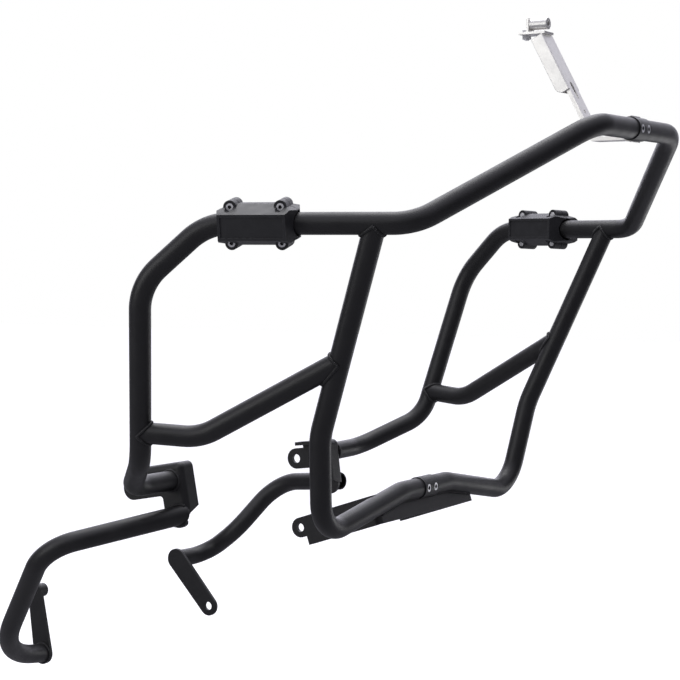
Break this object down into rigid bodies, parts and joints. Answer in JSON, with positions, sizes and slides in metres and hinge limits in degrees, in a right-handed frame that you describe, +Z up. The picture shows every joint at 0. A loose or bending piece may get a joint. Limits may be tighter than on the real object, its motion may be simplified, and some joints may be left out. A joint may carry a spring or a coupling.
{
  "type": "motorcycle crash bars",
  "caption": "Bolted pair of bent tube crash bars with slider pads, engine and frame brackets and a top stay, for one motorcycle.",
  "frame": {"origin": "middle of the engine bolt axis, on the bike's centre plane", "axes": "+X to the bike's left along the engine bolt, +Y rearward, +Z up"},
  "size_m": [0.816, 0.845, 0.8501],
  "materials": {
    "coat": "matt black powder coat",
    "plastic": "moulded black plastic, slight sheen",
    "fasteners": "zinc plated",
    "stay": "satin bright steel"
  },
  "bodies": {
    "root": {"right_main_tube": "coat", "left_main_tube": "coat", "right_down_tube": "coat", "left_down_tube": "coat", "right_cross_tube": "coat", "left_cross_tube": "coat", "right_rear_tube": "coat", "left_rear_tube": "coat", "right_frame_bracket": "coat", "left_frame_bracket": "coat", "right_rear_plate": "coat", "left_rear_plate": "coat", "right_rear_spacer": "coat", "engine_bracket": "coat", "right_top_coupler": "coat", "left_top_coupler": "coat", "right_bottom_coupler": "coat", "left_bottom_coupler": "coat", "right_slider_outer": "plastic", "right_slider_inner": "plastic", "left_slider_outer": "plastic", "left_slider_inner": "plastic", "top_coupler_bolts": "fasteners", "bottom_coupler_bolts": "fasteners", "right_slider_bolts": "fasteners", "left_slider_bolts": "fasteners", "right_slider_nuts": "fasteners", "left_slider_nuts": "fasteners", "stay_clip_bolt": "fasteners", "stay_clip_nut": "fasteners", "stay_bar": "stay", "stay_saddle": "stay", "stay_channel": "stay", "stay_clip": "stay", "stay_bushing": "stay"}
  },
  "joints": []
}
